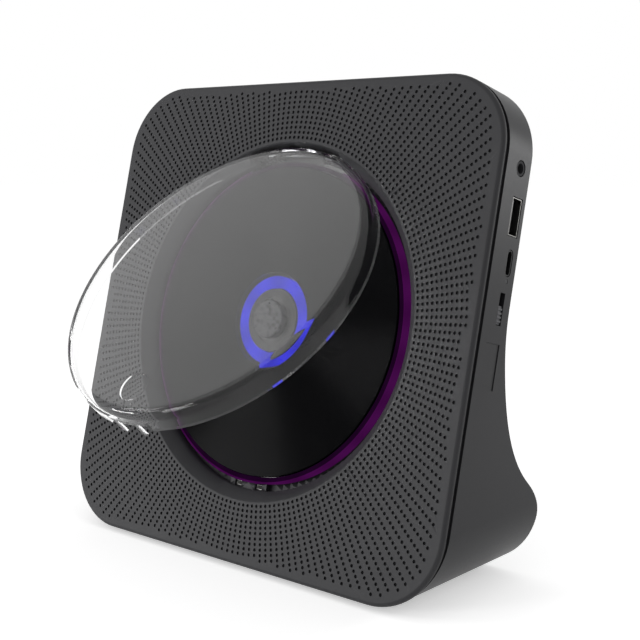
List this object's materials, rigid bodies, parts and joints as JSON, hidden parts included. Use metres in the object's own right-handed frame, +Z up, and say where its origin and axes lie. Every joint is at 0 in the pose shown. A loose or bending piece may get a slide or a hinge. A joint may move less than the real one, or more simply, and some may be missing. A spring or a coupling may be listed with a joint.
{
  "type": "disc player",
  "caption": "Reclined square disc player with a speaker grille face, a clear pop-up cover hinged above a round disc well, and a swept foot; stands or hangs.",
  "frame": {"origin": "on the standing surface, under the middle of the housing's base", "axes": "+Z up, -Y to the front where the face looks, +X to the right-hand side with the sockets"},
  "size_m": [0.19, 0.1172, 0.1832],
  "materials": {
    "graphite_plastic": "dark graphite ABS, satin",
    "shell_plastic": "graphite ABS, fine moulded texture",
    "black_plastic": "black moulded plastic",
    "clear_plastic": "clear polished acrylic",
    "disc_lacquer": "black lacquered polycarbonate disc",
    "purple_light": "translucent light guide, purple",
    "blue_light": "translucent light guide, blue",
    "hub_plastic": "grey speckled plastic",
    "pale_plastic": "pale grey acetal",
    "rubber": "soft black rubber",
    "steel": "brushed steel",
    "spring_steel": "spring wire",
    "screw_steel": "blackened steel",
    "board": "green circuit board",
    "cone_paper": "coated paper cone",
    "magnet": "plated magnet",
    "aluminium": "extruded aluminium",
    "socket_metal": "plated socket shell",
    "flex": "flexible strip with lamps",
    "lens": "coated lens",
    "led": "clear light pipe"
  },
  "bodies": {
    "housing": {"amplifier_heatsink": "aluminium", "board_capacitors": "aluminium", "board_chips": "black_plastic", "button_board": "board", "button_switches": "black_plastic", "chassis_dampers": "rubber", "chassis_screws": "screw_steel", "disc_tray": "black_plastic", "drive_chassis": "steel", "feed_motor": "steel", "front_panel": "graphite_plastic", "guide_rods": "steel", "headphone_jack": "black_plastic", "hinge_bracket": "black_plastic", "hinge_pin": "steel", "hinge_spring": "spring_steel", "housing_screws": "screw_steel", "hub_light_ring": "blue_light", "latch_housing": "pale_plastic", "latch_spring": "spring_steel", "left_speaker_cone": "cone_paper", "left_speaker_frame": "steel", "left_speaker_magnet": "magnet", "left_speaker_surround": "rubber", "main_board": "board", "mode_switch_body": "black_plastic", "port_board": "board", "power_socket": "socket_metal", "rear_shell": "shell_plastic", "right_speaker_cone": "cone_paper", "right_speaker_frame": "steel", "right_speaker_magnet": "magnet", "right_speaker_surround": "rubber", "ring_led_strip": "flex", "rubber_feet": "rubber", "small_screws": "screw_steel", "spindle_motor": "steel", "status_led": "led", "tray_light_ring": "purple_light", "usb_socket": "socket_metal", "usb_tongue": "black_plastic"},
    "cover": {"dust_cover": "clear_plastic"},
    "catch": {"latch_catch": "pale_plastic"},
    "spindle": {"turntable": "black_plastic", "turntable_pad": "rubber", "spindle_hub": "hub_plastic", "hub_catches": "steel", "compact_disc": "disc_lacquer"},
    "pickup": {"pickup_sled": "black_plastic", "pickup_actuator": "black_plastic", "pickup_lens": "lens"},
    "gear": {"feed_gear": "pale_plastic"},
    "pinion": {"feed_pinion": "pale_plastic"},
    "switch_knob": {"mode_switch_knob": "black_plastic"},
    "power_button_body": {"power_button": "shell_plastic"},
    "previous_button_body": {"previous_button": "shell_plastic"},
    "play_button_body": {"play_button": "shell_plastic"},
    "next_button_body": {"next_button": "shell_plastic"},
    "source_button_body": {"source_button": "shell_plastic"}
  },
  "joints": [
    {"name": "cover_hinge", "type": "hinge", "parent": "housing", "child": "cover", "pos_m": [0, 0.01117, 0.15463], "axis": [1, 0, 0], "range_deg": [0, 30.5], "stiffness_Nm_per_rad": 0.04, "springref_deg": -34.38, "deforming": ["hinge_spring"]},
    {"name": "latch_press", "type": "slide", "parent": "housing", "child": "catch", "axis": [0, -0.9703, 0.2419], "range_m": [-0.0025, 0], "stiffness_N_per_m": 200, "springref_m": 0.003, "deforming": ["latch_spring"]},
    {"name": "spindle_spin", "type": "hinge", "parent": "housing", "child": "spindle", "pos_m": [0, -0.00506, 0.09117], "axis": [0, -0.9703, 0.2419], "continuous": true},
    {"name": "pickup_slide", "type": "slide", "parent": "housing", "child": "pickup", "axis": [-1, 0, 0], "range_m": [0, 0.033]},
    {"name": "gear_spin", "type": "hinge", "parent": "housing", "child": "gear", "pos_m": [-0.03, 0.00579, 0.11403], "axis": [0, -0.9703, 0.2419], "range_deg": [-526, 1]},
    {"name": "pinion_spin", "type": "hinge", "parent": "housing", "child": "pinion", "pos_m": [-0.02119, 0.00758, 0.1212], "axis": [0, -0.9703, 0.2419], "range_deg": [-2, 1892]},
    {"name": "mode_switch_slide", "type": "slide", "parent": "housing", "child": "switch_knob", "axis": [0, 0.2419, 0.9703], "range_m": [0, 0.0042]},
    {"name": "power_press", "type": "slide", "parent": "housing", "child": "power_button_body", "axis": [0, 0.2419, 0.9703], "range_m": [-0.0006, 0], "stiffness_N_per_m": 300, "springref_m": 0.001},
    {"name": "previous_press", "type": "slide", "parent": "housing", "child": "previous_button_body", "axis": [0, 0.2419, 0.9703], "range_m": [-0.0006, 0], "stiffness_N_per_m": 300, "springref_m": 0.001},
    {"name": "play_press", "type": "slide", "parent": "housing", "child": "play_button_body", "axis": [0, 0.2419, 0.9703], "range_m": [-0.0006, 0], "stiffness_N_per_m": 300, "springref_m": 0.001},
    {"name": "next_press", "type": "slide", "parent": "housing", "child": "next_button_body", "axis": [0, 0.2419, 0.9703], "range_m": [-0.0006, 0], "stiffness_N_per_m": 300, "springref_m": 0.001},
    {"name": "source_press", "type": "slide", "parent": "housing", "child": "source_button_body", "axis": [0, 0.2419, 0.9703], "range_m": [-0.0006, 0], "stiffness_N_per_m": 300, "springref_m": 0.001}
  ],
  "couplings": [
    {"joint": "gear_spin", "follows": "pickup_slide", "rad_per_m": -277.78},
    {"joint": "pinion_spin", "follows": "pickup_slide", "rad_per_m": 1000}
  ]
}
